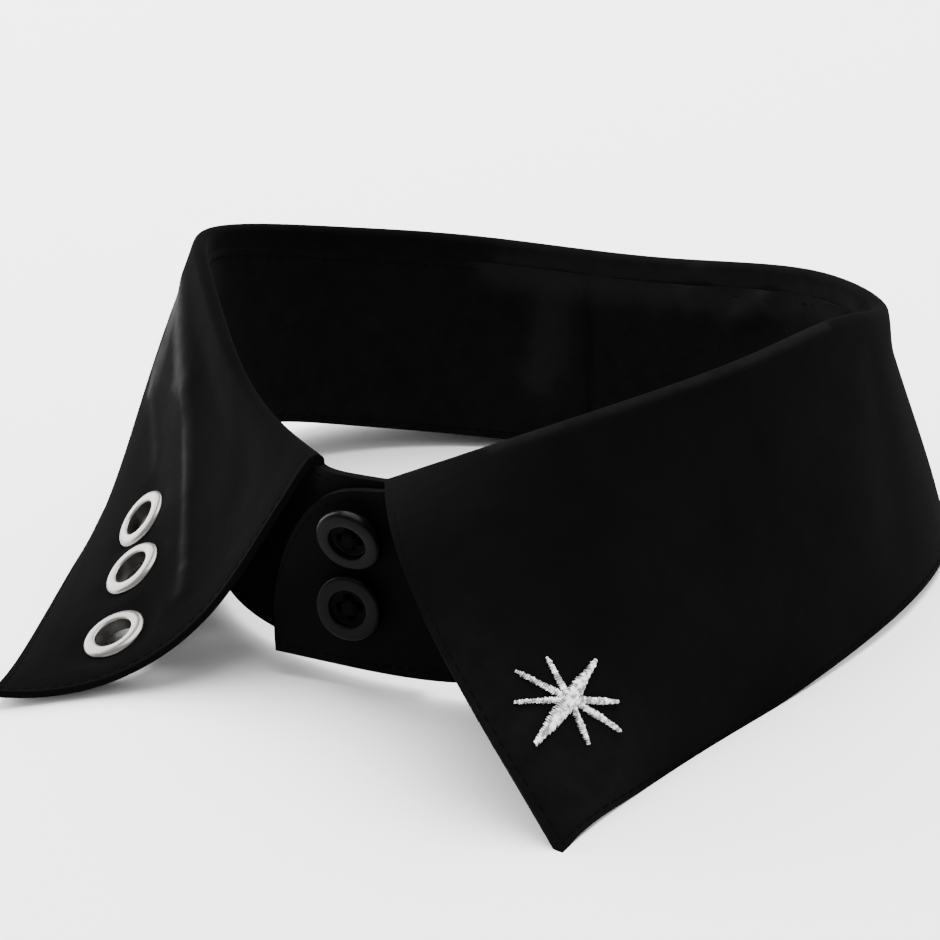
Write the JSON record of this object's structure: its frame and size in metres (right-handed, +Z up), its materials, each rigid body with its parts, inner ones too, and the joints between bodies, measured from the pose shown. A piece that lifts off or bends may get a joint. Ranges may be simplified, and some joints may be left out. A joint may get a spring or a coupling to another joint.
{
  "type": "detachable shirt collar",
  "caption": "Black detachable shirt collar standing on its hem: buttoned stand, fold-down leaf with long points, metal eyelets and a small embroidered star.",
  "frame": {"origin": "on the floor under the middle of the collar's box", "axes": "+Z up; the buttoned front faces -Y; +X is on the viewer's right, the wearer's left"},
  "size_m": [0.1547, 0.1664, 0.0536],
  "materials": {
    "black_cotton": "soft black cotton twill with a faint sheen, interlined, with black topstitching",
    "black_resin": "black polyester resin buttons with a soft shine",
    "nickel_eyelet": "bright nickel plate on pressed brass eyelets",
    "silver_thread": "silver-white rayon embroidery thread in satin stitch"
  },
  "bodies": {
    "root": {"leaf": "black_cotton", "stand": "black_cotton", "button_upper": "black_resin", "button_lower": "black_resin", "eyelet_1": "nickel_eyelet", "eyelet_2": "nickel_eyelet", "eyelet_3": "nickel_eyelet", "star_embroidery": "silver_thread"}
  },
  "joints": []
}
